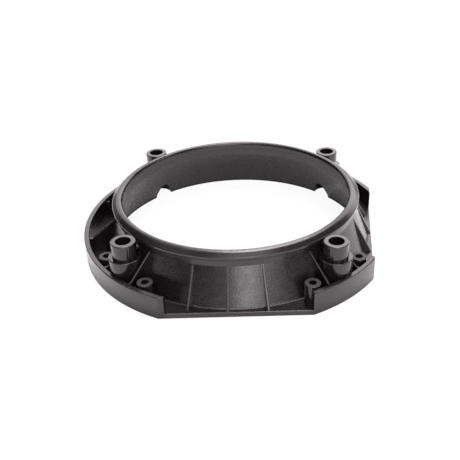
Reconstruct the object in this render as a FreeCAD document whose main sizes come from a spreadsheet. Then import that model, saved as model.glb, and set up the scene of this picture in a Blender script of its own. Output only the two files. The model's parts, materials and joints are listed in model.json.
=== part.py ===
import FreeCAD, Part
import math
import os
import Sketcher

# Moulded mounting collar (toilet flange): a round collar with a rolled bead, standing on a flat base plate
# with a skirt wall, four tall bolt bosses, eight screw bosses, and thin ribs and gussets.
# Frame: millimetres, +Z up through the bore, origin on the collar's axis at the underside of the base.
# -Y is the front, where the skirt is open, and +X is the side where the plate is cut flat.

# Driving dimensions: lengths in mm, angles in degrees
DIMENSIONS = {
    # collar
    "base_bore_radius": 64.8,
    "bore_land": 1.0,
    "neck_bore_radius": 57.4,
    "neck_radius": 60.2,
    "cone_top": 20.4,
    "cone_foot_radius": 67.3,
    "cone_foot_ledge": 0.9,
    "cone_foot_fillet": 1.0,
    # rolled bead
    "bead_inner_radius": 56.8,
    "bead_crest_radius": 59.15,
    "bead_outer_radius": 61.8,
    "bead_bottom": 23.8,
    "bead_shoulder_level": 25.85,
    "bead_top": 27.6,
    "bead_inner_rounding": 1.3,
    "bead_crest_rounding": 2.85,
    "bead_nose_rounding": 0.45,
    "bead_lower_rounding": 0.95,
    "bead_foot_rounding": 0.6,
    # base plate
    "plate_thickness": 2.6,
    "plate_radius": 77.6,
    "front_flat": 69.8,
    "front_flat_turn": 3.0,
    "right_flat": 69.0,
    "right_flat_turn": 3.4,
    "flat_edge_fillet": 0.35,
    # skirt wall
    "skirt_thickness": 2.5,
    "skirt_height": 11.4,
    "skirt_edge_fillet": 0.4,
    "left_skirt_start": 111.2,
    "left_skirt_span": 137.6,
    "right_skirt_end": 60.75,
    "front_right_skirt_span": 31.35,
    "rear_right_skirt_span": 44.75,
    # tall bolt bosses
    "bolt_half_pitch": 48.0,
    "bolt_hole_radius": 3.7,
    "tube_radius": 5.8,
    "tube_edge_fillet": 0.45,
    "boss_top": 26.0,
    "shoulder_level": 18.3,
    "shoulder_radius": 7.65,
    "shoulder_fillet": 0.4,
    "cup_foot_radius": 7.8,
    "socket_mouth_radius": 6.0,
    "socket_roof_radius": 5.2,
    "socket_depth": 15.1,
    # screw bosses
    "screw_circle_radius": 70.8,
    "screw_turn_towards_y": 13.1,
    "screw_turn_towards_x": 12.0,
    "screw_boss_radius": 3.75,
    "screw_boss_top": 12.0,
    "screw_boss_fillet": 0.3,
    "screw_hole_radius": 1.85,
    "screw_hole_depth": 8.0,
    # ribs and gussets
    "rib_thickness": 1.2,
    "rib_pitch": 15.0,
    "rib_foot_radius": 70.3,
    "rib_edge_margin": 0.1,
    "rib_edge_fillet": 0.4,
    "right_rib_turn": 1.0,
    "gusset_heel_radius": 73.3,
    "gusset_heel_level": 10.2,
    "gusset_turn": 7.5,
    "left_gusset_turn": 15.0,
}

# Corners of the square bolt pattern: name, side along X, side along Y, direction in degrees
BOLT_CORNERS = (
    ("front_left", -1, -1, -135),
    ("front_right", 1, -1, -45),
    ("rear_left", -1, 1, 135),
    ("rear_right", 1, 1, 45),
)

COLLAR_OVERLAP = 1.0  # how far a rib runs into the collar before it is trimmed to the collar's surface
MATCH = 1e-3  # two edges closer than this are the same edge

doc = FreeCAD.newDocument("ToiletFlange")
sheet = doc.addObject("Spreadsheet::Sheet", "Sizes")
for row, (alias, number) in enumerate(DIMENSIONS.items(), start=1):
    sheet.set(f"A{row}", alias)
    sheet.set(f"B{row}", str(number))
    sheet.setAlias(f"B{row}", alias)
doc.recompute()


def size(expression):
    """The present value of an expression on the sheet's aliases, as a number."""
    return float(sheet.evalExpression(expression))


def bound(expression):
    """The same expression as other objects have to write it, with the sheet's name before each alias."""
    words = []
    word = ""
    for letter in expression + " ":
        if letter.isalnum() or letter == "_":
            word += letter
            continue
        words.append("Sizes." + word if word in DIMENSIONS else word)
        words.append(letter)
        word = ""
    return "".join(words).strip()


def bind(obj, prop, expression):
    obj.setExpression(prop, bound(expression))


# ---------------------------------------------------------------- helpers for bodies and sketches


def new_body(name):
    body = doc.addObject("PartDesign::Body", name)
    body.Label = name
    return body


def origin_plane(body, role):
    return next(item for item in body.Origin.OriginFeatures if item.Role == role)


def new_sketch(body, name, role):
    sketch = body.newObject("Sketcher::SketchObject", name)
    sketch.AttachmentSupport = [(origin_plane(body, role), "")]
    sketch.MapMode = "FlatFace"
    return sketch


def fix_point(sketch, edge, end, across, up):
    """Hold one end of an edge at two distances from the sketch's origin."""
    for kind, axis, expression in (("DistanceX", -2, across), ("DistanceY", -1, up)):
        if size(expression) == 0:
            sketch.addConstraint(Sketcher.Constraint("PointOnObject", edge, end, axis))
            continue
        number = sketch.addConstraint(Sketcher.Constraint(kind, -1, 1, edge, end, size(expression)))
        bind(sketch, f"Constraints[{number}]", expression)


def polygon(sketch, corners):
    """A closed outline whose corners are pairs of expressions."""
    places = [FreeCAD.Vector(size(across), size(up), 0) for across, up in corners]
    count = len(places)
    for index in range(count):
        sketch.addGeometry(Part.LineSegment(places[index], places[(index + 1) % count]), False)
    for index in range(count):
        sketch.addConstraint(Sketcher.Constraint("Coincident", index, 2, (index + 1) % count, 1))
    for index, (across, up) in enumerate(corners):
        fix_point(sketch, index, 1, across, up)


def circle(sketch, radius):
    """A circle of a bound radius about the sketch's origin."""
    geometry = Part.Circle(FreeCAD.Vector(0, 0, 0), FreeCAD.Vector(0, 0, 1), size(radius))
    edge = sketch.addGeometry(geometry, False)
    sketch.addConstraint(Sketcher.Constraint("Coincident", edge, 3, -1, 1))
    number = sketch.addConstraint(Sketcher.Constraint("Radius", edge, size(radius)))
    bind(sketch, f"Constraints[{number}]", radius)


def pad(body, sketch, length, both_sides=False):
    feature = body.newObject("PartDesign::Pad", "Pad_" + body.Name)
    feature.Profile = sketch
    bind(feature, "Length", length)
    if both_sides:
        feature.Midplane = True
    return feature


def revolve(body, sketch):
    feature = body.newObject("PartDesign::Revolution", "Revolution_" + body.Name)
    feature.Profile = sketch
    feature.ReferenceAxis = (sketch, ["V_Axis"])
    feature.Angle = 360
    return feature


def revolved_body(name, corners):
    body = new_body(name)
    sketch = new_sketch(body, name + "_section", "XZ_Plane")
    polygon(sketch, corners)
    revolve(body, sketch)
    return body


def edges_through(shape, places):
    """Names of the edges that pass through any of the places."""
    names = []
    for number, edge in enumerate(shape.Edges, start=1):
        if any(edge.distToShape(Part.Vertex(place))[0] < MATCH for place in places):
            names.append(f"Edge{number}")
    return names


def dress(body, kind, prop, places, expression):
    """A fillet or a chamfer on the edges of the body's last feature that pass through the places."""
    doc.recompute()
    base = body.Tip
    names = edges_through(base.Shape, places)
    feature = body.newObject("PartDesign::" + kind, kind + "_" + body.Name)
    feature.Base = (base, names)
    bind(feature, prop, expression)
    return feature


def turn(obj, angle):
    bind(obj, ".Placement.Rotation.Angle", angle)


def move(obj, across, along, up):
    for axis, expression in (("x", across), ("y", along), ("z", up)):
        if expression:
            bind(obj, ".Placement.Base." + axis, expression)


def boolean(kind, name, base, tool):
    feature = doc.addObject("Part::" + kind, name)
    feature.Label = name
    feature.Base = base
    feature.Tool = tool
    return feature


def fuse(name, shapes):
    feature = doc.addObject("Part::MultiFuse", name)
    feature.Shapes = shapes
    return feature


nodes = []


def keep(obj, name):
    """Count an object as a finished sub-part, named after its node."""
    obj.Label = name
    nodes.append(obj)


# ---------------------------------------------------------------- collar: cone, neck and bead

# Everything inside the collar's outer surface; bosses, ribs and gussets are trimmed to it
collar_core = revolved_body(
    "collar_core",
    (
        ("0", "0"),
        ("cone_foot_radius + cone_foot_ledge", "0"),
        ("cone_foot_radius + cone_foot_ledge", "plate_thickness"),
        ("cone_foot_radius", "plate_thickness"),
        ("neck_radius", "cone_top"),
        ("0", "cone_top"),
    ),
)
cone_foot = FreeCAD.Vector(size("cone_foot_radius"), 0, size("plate_thickness"))
dress(collar_core, "Fillet", "Radius", [cone_foot], "cone_foot_fillet")

bore_core = revolved_body(
    "bore_core",
    (
        ("0", "0"),
        ("base_bore_radius", "0"),
        ("base_bore_radius", "bore_land"),
        ("neck_bore_radius", "cone_top"),
        ("0", "cone_top"),
    ),
)

# The hollow inside each bolt boss breaks through the cone's foot as an arched notch
sockets = []
for corner, side_x, side_y, direction in BOLT_CORNERS:
    socket = doc.addObject("Part::Cone", "socket_" + corner)
    bind(socket, "Radius1", "socket_mouth_radius")
    bind(socket, "Radius2", "socket_roof_radius")
    bind(socket, "Height", "socket_depth")
    move(socket, f"{side_x} * bolt_half_pitch", f"{side_y} * bolt_half_pitch", "")
    sockets.append(socket)
all_sockets = fuse("all_sockets", sockets)

cone_wall = boolean("Cut", "cone_wall", collar_core, bore_core)
keep(boolean("Cut", "cone_with_notches", cone_wall, all_sockets), "collar_cone")

neck = revolved_body(
    "neck",
    (
        ("neck_bore_radius", "cone_top"),
        ("neck_radius", "cone_top"),
        ("neck_radius", "bead_bottom"),
        ("neck_bore_radius", "bead_bottom"),
    ),
)
keep(neck, "collar_neck")

# The bead's crest lies close to the bore, and a wide shoulder slopes from it to the rounded outer nose.
# Each corner: radius, level, rounding.
BEAD_CORNERS = (
    ("bead_inner_radius", "bead_top", "bead_inner_rounding"),
    ("bead_crest_radius", "bead_top", "bead_crest_rounding"),
    ("bead_outer_radius", "bead_shoulder_level", "bead_nose_rounding"),
    ("bead_outer_radius", "bead_bottom", "bead_lower_rounding"),
    ("bead_inner_radius", "bead_bottom", "bead_foot_rounding"),
)
bead = revolved_body("bead", [(radius, level) for radius, level, rounding in BEAD_CORNERS])
for radius, level, rounding in BEAD_CORNERS:
    dress(bead, "Fillet", "Radius", [FreeCAD.Vector(size(radius), 0, size(level))], rounding)
keep(bead, "rim_bead")

# ---------------------------------------------------------------- outline and skirt wall

# Each flat: its distance from the axis and the direction of its outward normal
FLATS = (
    ("front_flat", "-90 + front_flat_turn"),
    ("right_flat", "0 - right_flat_turn"),
    ("front_flat", "90 - front_flat_turn"),
)


def flat_corners(distance, direction):
    """The two directions, in degrees, where a flat meets the plate's round edge."""
    half = math.degrees(math.acos(size(distance) / size("plate_radius")))
    return size(direction) - half, size(direction) + half


def on_rim(degrees):
    angle = math.radians(degrees)
    return FreeCAD.Vector(math.cos(angle), math.sin(angle), 0) * size("plate_radius")


def outline(sketch):
    """The plate's outline: a circle about the axis with three flats cut across it."""
    rim = Part.Circle(FreeCAD.Vector(0, 0, 0), FreeCAD.Vector(0, 0, 1), size("plate_radius"))
    corners = [flat_corners(*flat) for flat in FLATS]
    count = len(FLATS)
    for start, stop in corners:
        sketch.addGeometry(Part.LineSegment(on_rim(start), on_rim(stop)), False)
    for index in range(count):
        start = math.radians(corners[index][1])
        stop = math.radians(corners[(index + 1) % count][0])
        sketch.addGeometry(Part.ArcOfCircle(rim, start, stop), False)
    for index, (distance, direction) in enumerate(FLATS):
        arc = count + index
        sketch.addConstraint(Sketcher.Constraint("Coincident", arc, 3, -1, 1))
        sketch.addConstraint(Sketcher.Constraint("Coincident", index, 2, arc, 1))
        sketch.addConstraint(Sketcher.Constraint("Coincident", arc, 2, (index + 1) % count, 1))
        number = sketch.addConstraint(Sketcher.Constraint("Distance", -1, 1, index, size(distance)))
        bind(sketch, f"Constraints[{number}]", distance)
        slope = math.radians(size(direction) + 90)
        number = sketch.addConstraint(Sketcher.Constraint("Angle", index, slope))
        bind(sketch, f"Constraints[{number}]", direction + " + 90")
    number = sketch.addConstraint(Sketcher.Constraint("Radius", count, size("plate_radius")))
    bind(sketch, f"Constraints[{number}]", "plate_radius")
    for index in range(1, count):
        sketch.addConstraint(Sketcher.Constraint("Equal", count, count + index))


def outline_body(name, height):
    body = new_body(name)
    sketch = new_sketch(body, name + "_outline", "XY_Plane")
    outline(sketch)
    pad(body, sketch, height)
    return body


outline_block = outline_body("outline_block", "skirt_height")


def skirt(name, start, span):
    """A stretch of the ring wall, from one direction round by a span, trimmed by the flats."""
    outer = doc.addObject("Part::Cylinder", name + "_outer")
    bind(outer, "Radius", "plate_radius")
    inner = doc.addObject("Part::Cylinder", name + "_inner")
    bind(inner, "Radius", "plate_radius - skirt_thickness")
    for cylinder in (outer, inner):
        bind(cylinder, "Height", "skirt_height - plate_thickness")
        move(cylinder, "", "", "plate_thickness")
    bind(outer, "Angle", span)
    turn(outer, start)
    wall = boolean("Cut", name + "_wall", outer, inner)
    trimmed = boolean("Common", name + "_trimmed", wall, outline_block)
    doc.recompute()
    top = size("skirt_height")
    radius = size("skirt_edge_fillet")
    rounded = doc.addObject("Part::Fillet", name + "_rounded")
    rounded.Base = trimmed
    rounded.Edges = [
        (number, radius, radius)
        for number, edge in enumerate(trimmed.Shape.Edges, start=1)
        if edge.BoundBox.ZMin > top - MATCH
    ]
    keep(rounded, name)
    return trimmed


skirts = [
    skirt("skirt_left", "left_skirt_start", "left_skirt_span"),
    skirt("skirt_front_right", "0 - right_skirt_end", "front_right_skirt_span"),
    skirt("skirt_rear_right", "right_skirt_end - rear_right_skirt_span", "rear_right_skirt_span"),
]

# ---------------------------------------------------------------- tall bolt bosses


def clear_of(tool, obj, name):
    """Trim a piece so that it meets the tool's outer surface face to face."""
    keep(boolean("Cut", name + "_trimmed", obj, tool), name)


collar_and_skirts = fuse("collar_and_skirts", [collar_core, *skirts])
SOCKET_TAPER = "(socket_mouth_radius - socket_roof_radius) / socket_depth"
CUP_CORNERS = (
    (f"socket_mouth_radius - {SOCKET_TAPER} * plate_thickness", "plate_thickness"),
    ("cup_foot_radius", "plate_thickness"),
    ("shoulder_radius", "shoulder_level"),
    ("bolt_hole_radius", "shoulder_level"),
    ("bolt_hole_radius", "socket_depth"),
    ("socket_roof_radius", "socket_depth"),
)


def boss_cup(name, across, along):
    """The wide lower part of a bolt boss, hollow from below, with a flat shoulder on top."""
    body = revolved_body(name + "_body", CUP_CORNERS)
    shoulder_edge = FreeCAD.Vector(size("shoulder_radius"), 0, size("shoulder_level"))
    dress(body, "Fillet", "Radius", [shoulder_edge], "shoulder_fillet")
    move(body, across, along, "")
    clear_of(collar_and_skirts, body, name)


def boss_tube(name, across, along):
    """The narrow upper part of a bolt boss, with the bolt hole through it."""
    body = new_body(name)
    sketch = new_sketch(body, name + "_ring", "XY_Plane")
    circle(sketch, "tube_radius")
    circle(sketch, "bolt_hole_radius")
    length = "boss_top - shoulder_level"
    pad(body, sketch, length)
    rim = FreeCAD.Vector(size("tube_radius"), 0, size(length))
    dress(body, "Fillet", "Radius", [rim], "tube_edge_fillet")
    move(body, across, along, "shoulder_level")
    keep(body, name)


for corner, side_x, side_y, direction in BOLT_CORNERS:
    place_x = f"{side_x} * bolt_half_pitch"
    place_y = f"{side_y} * bolt_half_pitch"
    boss_cup("boss_cup_" + corner, place_x, place_y)
    boss_tube("boss_tube_" + corner, place_x, place_y)

# ---------------------------------------------------------------- base plate

# The plate fills the outline outside the collar's foot; the boss sockets open through it
plate = outline_body("plate", "plate_thickness")
flat_edges = []
for distance, direction in FLATS:
    angle = math.radians(size(direction))
    lower_edge = FreeCAD.Vector(math.cos(angle), math.sin(angle), 0) * size(distance)
    flat_edges += [lower_edge, lower_edge + FreeCAD.Vector(0, 0, size("plate_thickness"))]
dress(plate, "Fillet", "Radius", flat_edges, "flat_edge_fillet")
plate_tools = fuse("plate_tools", [collar_core, all_sockets])
keep(boolean("Cut", "plate_trimmed", plate, plate_tools), "base_plate")

# ---------------------------------------------------------------- screw bosses


def screw_boss(name, direction):
    """A short post on the plate with a blind pilot hole from the top."""
    body = new_body(name + "_body")
    sketch = new_sketch(body, name + "_round", "XY_Plane")
    circle(sketch, "screw_boss_radius")
    height = "screw_boss_top - plate_thickness"
    pad(body, sketch, height)
    top_edge = FreeCAD.Vector(size("screw_boss_radius"), 0, size(height))
    dress(body, "Fillet", "Radius", [top_edge], "screw_boss_fillet")
    doc.recompute()
    solid_volume = body.Shape.Volume
    hole_sketch = new_sketch(body, name + "_hole", "XY_Plane")
    bind(hole_sketch, ".AttachmentOffset.Base.z", height)
    circle(hole_sketch, "screw_hole_radius")
    hole = body.newObject("PartDesign::Pocket", "Pocket_" + name)
    hole.Profile = hole_sketch
    bind(hole, "Length", "screw_hole_depth")
    doc.recompute()
    removed = solid_volume - body.Shape.Volume
    expected = math.pi * size("screw_hole_radius") ** 2 * size("screw_hole_depth")
    if abs(removed - expected) > 0.01 * expected:
        raise SystemExit(name + ": the pilot hole removed the wrong volume")
    move(
        body,
        f"screw_circle_radius * cos({direction})",
        f"screw_circle_radius * sin({direction})",
        "plate_thickness",
    )
    clear_of(collar_core, body, name)


# Beside each bolt boss one screw boss lies towards the X axis and one towards the Y axis
screw_count = 0
for corner, side_x, side_y, direction in BOLT_CORNERS:
    for sign in (-1, 1):
        towards_y = sign * side_x * side_y > 0
        offset = "screw_turn_towards_y" if towards_y else "screw_turn_towards_x"
        screw_count += 1
        screw_boss(f"screw_boss_{screw_count}", f"{direction} + {sign} * {offset}")

# ---------------------------------------------------------------- ribs and gussets


def brace(name, direction, corners, rounded_places):
    """A thin upright plate in a radial plane, rounded along its free edge."""
    body = new_body(name + "_body")
    sketch = new_sketch(body, name + "_side", "XZ_Plane")
    polygon(sketch, corners)
    pad(body, sketch, "rib_thickness", both_sides=True)
    half = size("rib_thickness") / 2
    places = [FreeCAD.Vector(r, y, z) for r, z in rounded_places for y in (-half, half)]
    dress(body, "Fillet", "Radius", places, "rib_edge_fillet")
    turn(body, direction)
    clear_of(collar_core, body, name)


def middle(first, second):
    return (first[0] + second[0]) / 2, (first[1] + second[1]) / 2


def rib(name, direction, flat, flat_direction):
    """A rib down the collar to the plate, stopping short of the plate's flat edge."""
    to_edge = f"({flat} / cos({direction} - ({flat_direction})) - rib_edge_margin)"
    foot = f"min(rib_foot_radius; {to_edge})"
    corners = (
        (f"cone_foot_radius - {COLLAR_OVERLAP}", "plate_thickness"),
        (foot, "plate_thickness"),
        ("neck_radius", "cone_top"),
        (f"neck_radius - {COLLAR_OVERLAP}", "cone_top"),
    )
    foot_place = size(foot), size("plate_thickness")
    top_place = size("neck_radius"), size("cone_top")
    brace(name, direction, corners, [middle(foot_place, top_place)])


def gusset(name, direction):
    """A gusset from the collar's neck out to the skirt wall, with a short level heel at the skirt."""
    wall = "plate_radius - skirt_thickness"
    corners = (
        (f"cone_foot_radius - {COLLAR_OVERLAP}", "plate_thickness"),
        (wall, "plate_thickness"),
        (wall, "gusset_heel_level"),
        ("gusset_heel_radius", "gusset_heel_level"),
        ("neck_radius", "cone_top"),
        (f"neck_radius - {COLLAR_OVERLAP}", "cone_top"),
    )
    heel = size("gusset_heel_radius"), size("gusset_heel_level")
    end = size(wall), size("gusset_heel_level")
    top = size("neck_radius"), size("cone_top")
    brace(name, direction, corners, [middle(heel, top), middle(heel, end)])


RIB_SIDES = (
    ("rib_front", "-90", *FLATS[0]),
    ("rib_right", "0 - right_rib_turn", *FLATS[1]),
    ("rib_rear", "90", *FLATS[2]),
)
for side, centre, flat, flat_direction in RIB_SIDES:
    for number, step in enumerate((-1, 0, 1), start=1):
        rib(f"{side}_{number}", f"{centre} + {step} * rib_pitch", flat, flat_direction)

gusset_count = 0
for corner, side_x, side_y, direction in BOLT_CORNERS:
    for sign in ("-", "+"):
        gusset_count += 1
        gusset(f"gusset_{gusset_count}", f"{direction} {sign} gusset_turn")
gusset("gusset_left_1", "-180 + left_gusset_turn")
gusset("gusset_left_2", "180 - left_gusset_turn")

# ---------------------------------------------------------------- check and write

doc.recompute()
for obj in doc.Objects:
    if "Invalid" in obj.State or "Error" in obj.State:
        raise SystemExit(f"{obj.Name} failed: {obj.State}")
for obj in nodes:
    if obj.Shape.isNull() or not obj.Shape.isValid() or len(obj.Shape.Solids) != 1:
        raise SystemExit(f"{obj.Label} is not one valid solid")

os.makedirs("parts", exist_ok=True)
for obj in nodes:
    obj.Shape.exportStep(os.path.join("parts", obj.Label + ".step"))
    print(f"{obj.Label}: {obj.Shape.Volume:.1f} mm3")
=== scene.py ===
import json
import math
from typing import NamedTuple

import bpy
from mathutils import Matrix, Vector


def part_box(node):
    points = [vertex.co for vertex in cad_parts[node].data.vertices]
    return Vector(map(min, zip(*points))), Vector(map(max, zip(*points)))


# Moulded mounting collar in black plastic, on a plain pale floor under soft studio light.
# Lengths are in metres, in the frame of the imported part: +Z up through the bore, -Y to the front.

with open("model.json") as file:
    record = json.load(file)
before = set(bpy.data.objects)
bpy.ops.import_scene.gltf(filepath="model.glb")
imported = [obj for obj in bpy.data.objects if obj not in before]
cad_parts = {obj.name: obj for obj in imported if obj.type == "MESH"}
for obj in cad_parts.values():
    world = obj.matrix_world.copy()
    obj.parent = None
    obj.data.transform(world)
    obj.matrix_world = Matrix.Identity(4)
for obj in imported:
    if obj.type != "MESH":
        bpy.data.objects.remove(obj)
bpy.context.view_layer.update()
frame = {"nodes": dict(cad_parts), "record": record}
floor_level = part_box("base_plate")[0].z

# ---------------------------------------------------------------- named values

# Camera: its place, where it points (degrees) and its lens (millimetres)
CAMERA_PLACE = Vector((0.0264, -0.3173, 0.1914))
CAMERA_HEADING = 4.11
CAMERA_DIP = 31.11
CAMERA_ROLL = -2.16
CAMERA_LENS = 55.43
CAMERA_SENSOR = 36.0
CAMERA_SHIFT = (-0.0309, 0.0137)
CAMERA_CLIP = (0.01, 20.0)

# Each soft glow round the studio, in degrees: bearing from +X, height, half width; then its brightness
GLOWS = {
    "overhead": (80, 76, 13, 11.0),
    "high_rear": (72, 66, 24, 8.0),
    "high_front": (288, 66, 24, 3.0),
    "high_left": (144, 66, 24, 1.25),
    "front_strip": (281, 10, 13, 7.5),
    "front_right": (300, 24, 20, 5.0),
    "front_middle": (270, 44, 24, 3.5),
    "front_left": (225, 44, 24, 1.0),
    "front_low": (265, 6, 20, 0.7),
    "right": (0, 30, 20, 3.6),
    "rear_right": (60, 24, 20, 3.75),
    "rear": (90, 24, 20, 2.25),
    "rear_left": (120, 24, 20, 2.25),
    "rear_low": (90, 6, 20, 1.25),
    "rear_middle": (90, 44, 24, 2.5),
}
GLOW_COLOUR = (1.0, 0.94, 0.955, 1.0)
GLOW_CORE = 0.35  # share of its half width in which a glow keeps its full brightness

# Stage: a paper floor, a veil just above it and a wall round it
STAGE_REACH = 6.0
FLOOR_GAP = 0.0002
VEIL_GAP = 0.0001
VEIL_SHARE = 0.92  # how much of the floor the white veil hides
PAPER_TONES = (0.90, 0.93)
PAPER_PATCH_SIZE = 0.08
PAPER_ROUGHNESS = 0.9
WALL_FOOT, WALL_TOP = -0.5, 5.0
WALL_STEPS = 48
BLACK = (0.0, 0.0, 0.0, 1.0)
WHITE = (1.0, 1.0, 1.0, 1.0)


class Finish(NamedTuple):
    """One finish of the plastic. The values given here are the plain moulded one."""

    colour: tuple = (0.0062, 0.0052, 0.0058)
    roughness: float = 0.22
    grain_size: float = 0.00035
    grain_depth: float = 0.000006
    edge_reach: float = 0.00045  # how far the lighter edge band reaches from an edge: rubbed wear, and on the ribs painted highlight
    lighter_for_wear_and_highlight: float = 3.2  # how many times lighter the plastic is in that band, where it is rubbed and, on the ribs, where highlight is painted
    top_duller: float = 0.0  # roughness added where a face looks straight up


FINISHES = {
    "collar": Finish(roughness=0.26, grain_size=0.00080, grain_depth=0.000044),
    "bead": Finish(colour=(0.0070, 0.0060, 0.0066), grain_size=0.00030, grain_depth=0.000010),
    "base": Finish(roughness=0.25, grain_depth=0.000002),
    "boss": Finish(colour=(0.0060, 0.0050, 0.0056), roughness=0.14, grain_depth=0.000002),
    "screw": Finish(
        colour=(0.0080, 0.0070, 0.0076),
        roughness=0.18,
        grain_depth=0.000003,
        edge_reach=0.00055,
        lighter_for_wear_and_highlight=7.0,
        top_duller=0.42,
    ),
    # The rib finish is painted lighter all over and gets a wider lighter edge band: painted highlight for
    # the light on the ribs' rounded edges.
    "rib": Finish(colour=(0.0250, 0.0225, 0.0240), roughness=0.24, edge_reach=0.00090, lighter_for_wear_and_highlight=2.5),
    "gusset": Finish(),
}
OWN_FINISH = ("screw", "gusset")  # nodes whose names start so have a finish of their own

# What all finishes share. A pattern fades in over its span of the noise it is made from.
NOISE_SPAN = (0.3, 0.7)
MOTTLE_SIZE = 0.011
MOTTLE_SPAN = (0.32, 0.68)
MOTTLE_SHARES = (0.80, 1.25)  # the darkest and lightest mottling, as shares of the colour
SMEAR_SIZE = 0.0035
SMEAR_ROUGHNESS = 0.035
GRAIN_ROUGHNESS = 0.03
SMOOTH_SHARE = 0.25  # how much of the grain's depth is left on the smoother faces towards the bore
FACING_SPAN = (-0.004, 0.004)  # where that change falls, as the outward lean times the radius
UPWARD_COSINES = (0.7, 0.95)  # a face begins to count as a top at the first and fully does at the second
EDGE_COSINES = (0.97, 0.80)  # an edge begins to count as rubbed, and on the ribs as painted highlight, at the first and fully at the second
EDGE_SAMPLES = 8
WEAR_AND_HIGHLIGHT_PATCH_SIZE = 0.0022
WEAR_AND_HIGHLIGHT_PATCH_SPAN = (0.36, 0.66)
WEAR_AND_HIGHLIGHT_SHARES = (0.15, 1.0)  # how strongly an edge is rubbed, and on the ribs painted with highlight, between the patches and in them
RUBBED_ROUGHNESS = -0.06
SINK_DEPTH = 0.00010  # the shallow waviness left by shrinkage
SINK_STRENGTH = 0.25
PLASTIC_IOR = 1.5
PLASTIC_SPECULAR = 0.5


# ---------------------------------------------------------------- node trees


class Nodes:
    """A short way to write the node tree of a material or of the world."""

    def __init__(self, owner):
        owner.use_nodes = True
        self.tree = owner.node_tree

    def __getitem__(self, name):
        return self.tree.nodes[name]

    def add(self, kind, settings=None, **inputs):
        node = self.tree.nodes.new("ShaderNode" + kind)
        for prop, value in (settings or {}).items():
            setattr(node, prop, value)
        for name, value in inputs.items():
            self.feed(node.inputs[name], value)
        return node

    def feed(self, socket, value):
        """Link an output to a socket, or set the socket's own value."""
        if isinstance(value, bpy.types.NodeSocket):
            self.tree.links.new(value, socket)
        else:
            socket.default_value = value

    def feed_in_order(self, node, values):
        for socket, value in zip(node.inputs, values):
            self.feed(socket, value)

    def noise(self, place, size, detail=3.0, roughness=0.55):
        node = self.add("TexNoise", Vector=place, Scale=1.0 / size, Detail=detail, Roughness=roughness)
        return node.outputs["Fac"]

    def spread(self, value, span, low, high, interpolation="LINEAR"):
        """Map a span of a value onto low to high, held at its ends."""
        node = self.add("MapRange", {"clamp": True, "interpolation_type": interpolation})
        self.feed_in_order(node, (value, *span, low, high))
        return node.outputs[0]

    def maths(self, operation, first, second):
        node = self.add("Math", {"operation": operation})
        self.feed_in_order(node, (first, second))
        return node.outputs[0]

    def dot(self, first, second):
        node = self.add("VectorMath", {"operation": "DOT_PRODUCT"})
        self.feed_in_order(node, (first, second))
        return node.outputs["Value"]

    def mix(self, share, first, second):
        node = self.add("Mix", {"data_type": "RGBA"})
        colours = [socket for socket in node.inputs if socket.type == "RGBA"]
        self.feed(node.inputs[0], share)
        self.feed(colours[0], first)
        self.feed(colours[1], second)
        return next(socket for socket in node.outputs if socket.type == "RGBA")


# ---------------------------------------------------------------- black plastic


def shade(colour, share):
    """The colour, so many times as bright and opaque."""
    return (*(channel * share for channel in colour), 1.0)


def edge_mask(nodes, reach):
    """How strongly the surface turns within a short distance: 0 on a flat face, 1 at a sharp edge."""
    rounded = nodes.add("Bevel", {"samples": EDGE_SAMPLES}, Radius=reach).outputs["Normal"]
    sharp = nodes.add("NewGeometry").outputs["Normal"]
    return nodes.spread(nodes.dot(rounded, sharp), EDGE_COSINES, 0.0, 1.0)


def grain_share(nodes, place, normal):
    """1 where the surface faces away from the axis of the bore, less where it faces the axis."""
    across = nodes.add("VectorMath", {"operation": "MULTIPLY"})
    nodes.feed_in_order(across, (place, (1.0, 1.0, 0.0)))
    facing = nodes.dot(across.outputs["Vector"], normal)
    return nodes.spread(facing, FACING_SPAN, SMOOTH_SHARE, 1.0)


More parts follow.
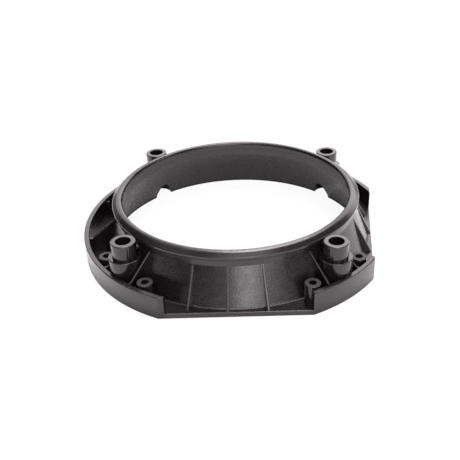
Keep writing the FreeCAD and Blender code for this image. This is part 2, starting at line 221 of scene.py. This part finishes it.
def black_plastic(name, finish):
    """Moulded black plastic: spark-eroded grain, slight mottling, flow marks and a lighter band at edges,
    which is rubbed wear and on the ribs painted highlight.
    """
    material = bpy.data.materials.new("plastic_" + name)
    nodes = Nodes(material)
    shader = nodes["Principled BSDF"]
    coordinates = nodes.add("TexCoord")
    place, normal = coordinates.outputs["Object"], coordinates.outputs["Normal"]

    grain = nodes.noise(place, finish.grain_size, detail=2.0, roughness=0.6)
    mottle = nodes.noise(place, MOTTLE_SIZE, detail=4.0)
    smear = nodes.noise(place, SMEAR_SIZE, detail=2.0)
    patches = nodes.spread(nodes.noise(place, WEAR_AND_HIGHLIGHT_PATCH_SIZE), WEAR_AND_HIGHLIGHT_PATCH_SPAN, *WEAR_AND_HIGHLIGHT_SHARES)
    # Lighter band at edges: rubbed wear, and on the ribs a painted highlight.
    edge_wear_and_highlight = nodes.maths("MULTIPLY", edge_mask(nodes, finish.edge_reach), patches)

    darker, lighter = (shade(finish.colour, share) for share in MOTTLE_SHARES)
    body = nodes.mix(nodes.spread(mottle, MOTTLE_SPAN, 0.0, 1.0), darker, lighter)
    # The edge band's lighter colour: rubbed plastic, and on the ribs painted highlight.
    wear_and_highlight_colour = shade(finish.colour, finish.lighter_for_wear_and_highlight)
    nodes.feed(shader.inputs["Base Color"], nodes.mix(edge_wear_and_highlight, body, wear_and_highlight_colour))

    upward = nodes.add("SeparateXYZ", Vector=normal).outputs["Z"]
    changes = (
        nodes.spread(grain, NOISE_SPAN, -GRAIN_ROUGHNESS, GRAIN_ROUGHNESS),
        nodes.spread(upward, UPWARD_COSINES, 0.0, finish.top_duller),
        nodes.maths("MULTIPLY", edge_wear_and_highlight, RUBBED_ROUGHNESS),
    )
    smoothest, roughest = finish.roughness - SMEAR_ROUGHNESS, finish.roughness + SMEAR_ROUGHNESS
    roughness = nodes.spread(smear, NOISE_SPAN, smoothest, roughest)
    for change in changes:
        roughness = nodes.maths("ADD", roughness, change)
    nodes.feed(shader.inputs["Roughness"], roughness)
    shader.inputs["Specular IOR Level"].default_value = PLASTIC_SPECULAR
    shader.inputs["IOR"].default_value = PLASTIC_IOR

    height = nodes.maths("MULTIPLY", grain, grain_share(nodes, place, normal))
    relief = nodes.add("Bump", Height=height, Distance=finish.grain_depth, Strength=1.0)
    sink = nodes.add("Bump", Height=mottle, Distance=SINK_DEPTH, Strength=SINK_STRENGTH)
    nodes.feed(sink.inputs["Normal"], relief.outputs["Normal"])
    nodes.feed(shader.inputs["Normal"], sink.outputs["Normal"])
    return material


def finish_nodes():
    """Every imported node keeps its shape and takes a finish: its own, or else that of its record slot."""
    materials = {name: black_plastic(name, finish) for name, finish in FINISHES.items()}
    slots = {entry["node"]: entry["material_slot"] for entry in frame["record"]["subparts"]}
    for node, obj in frame["nodes"].items():
        name = next((start for start in OWN_FINISH if node.startswith(start)), slots[node])
        obj.data.materials.clear()
        obj.data.materials.append(materials[name])


# ---------------------------------------------------------------- stage


def stage_piece(name, corners, faces, material, level=0.0):
    mesh = bpy.data.meshes.new(name)
    mesh.from_pydata(corners, [], faces)
    mesh.materials.append(material)
    piece = bpy.data.objects.new(name, mesh)
    piece.location.z = level
    bpy.context.scene.collection.objects.link(piece)
    return piece


def square_sheet(name, material, level):
    corners = [(x * STAGE_REACH, y * STAGE_REACH, 0) for x, y in ((-1, -1), (1, -1), (1, 1), (-1, 1))]
    return stage_piece(name, corners, [(0, 1, 2, 3)], material, level)


def show_to_camera_only(piece):
    """Keep a piece of the stage out of every reflection and shadow."""
    piece.visible_diffuse = piece.visible_glossy = piece.visible_transmission = False
    piece.visible_volume_scatter = piece.visible_shadow = False


def pale_floor():
    """Slightly uneven matt white paper."""
    paper = bpy.data.materials.new("paper")
    nodes = Nodes(paper)
    shader = nodes["Principled BSDF"]
    place = nodes.add("TexCoord").outputs["Object"]
    patches = nodes.spread(nodes.noise(place, PAPER_PATCH_SIZE), NOISE_SPAN, 0.0, 1.0)
    darker, lighter = (shade((1.0, 1.0, 1.0), tone) for tone in PAPER_TONES)
    nodes.feed(shader.inputs["Base Color"], nodes.mix(patches, darker, lighter))
    shader.inputs["Roughness"].default_value = PAPER_ROUGHNESS
    square_sheet("floor", paper, floor_level - FLOOR_GAP)


def white_veil():
    """A thin veil over the floor, mostly white, that leaves only a faint shadow to be seen."""
    veil = bpy.data.materials.new("sheet")
    nodes = Nodes(veil)
    nodes.tree.nodes.remove(nodes["Principled BSDF"])
    clear = nodes.add("BsdfTransparent").outputs[0]
    shine = nodes.add("Emission", Color=WHITE, Strength=1.0).outputs[0]
    blend = nodes.add("MixShader")
    nodes.feed_in_order(blend, (VEIL_SHARE, clear, shine))
    nodes.feed(nodes["Material Output"].inputs["Surface"], blend.outputs[0])
    show_to_camera_only(square_sheet("sheet", veil, floor_level - VEIL_GAP))


def backdrop():
    """A round white wall at the edge of the floor."""
    glowing = bpy.data.materials.new("backdrop")
    shader = Nodes(glowing)["Principled BSDF"]
    shader.inputs["Base Color"].default_value = BLACK
    shader.inputs["Emission Color"].default_value = WHITE
    shader.inputs["Emission Strength"].default_value = 1.0
    turns = [math.tau * step / WALL_STEPS for step in range(WALL_STEPS)]
    ring = [(STAGE_REACH * math.cos(turn), STAGE_REACH * math.sin(turn)) for turn in turns]
    corners = [(x, y, level) for level in (WALL_FOOT, WALL_TOP) for x, y in ring]
    pairs = [(step, (step + 1) % WALL_STEPS) for step in range(WALL_STEPS)]
    faces = [(here, after, WALL_STEPS + after, WALL_STEPS + here) for here, after in pairs]
    show_to_camera_only(stage_piece("backdrop", corners, faces, glowing))


# ---------------------------------------------------------------- light and camera


def studio_world():
    """A dark studio with a few soft glows, each brightest at its middle and fading to its edge."""
    world = bpy.data.worlds.new("studio")
    nodes = Nodes(world)
    background = nodes["Background"]
    direction = nodes.add("TexCoord").outputs["Generated"]
    total = 0.0
    for bearing, height, half_width, brightness in GLOWS.values():
        around, up, reach = (math.radians(angle) for angle in (bearing, height, half_width))
        middle = (math.cos(up) * math.cos(around), math.cos(up) * math.sin(around), math.sin(up))
        fade = (math.cos(reach), math.cos(reach * GLOW_CORE))
        glow = nodes.spread(nodes.dot(direction, middle), fade, 0.0, brightness, "SMOOTHSTEP")
        total = nodes.maths("ADD", total, glow)
    nodes.feed(background.inputs["Strength"], total)
    background.inputs["Color"].default_value = GLOW_COLOUR
    bpy.context.scene.world = world


def studio_camera():
    lens = bpy.data.cameras.new("camera")
    lens.lens = CAMERA_LENS
    lens.sensor_width = CAMERA_SENSOR
    lens.shift_x, lens.shift_y = CAMERA_SHIFT
    lens.clip_start, lens.clip_end = CAMERA_CLIP
    camera = bpy.data.objects.new("camera", lens)
    turns = ((CAMERA_HEADING, "Z"), (90 - CAMERA_DIP, "X"), (CAMERA_ROLL, "Z"))
    pose = Matrix.Translation(CAMERA_PLACE)
    for angle, axis in turns:
        pose = pose @ Matrix.Rotation(math.radians(angle), 4, axis)
    camera.matrix_world = pose
    bpy.context.scene.collection.objects.link(camera)
    bpy.context.scene.camera = camera


finish_nodes()
pale_floor()
white_veil()
backdrop()
studio_world()
studio_camera()
bpy.context.scene.view_settings.view_transform = "Standard"
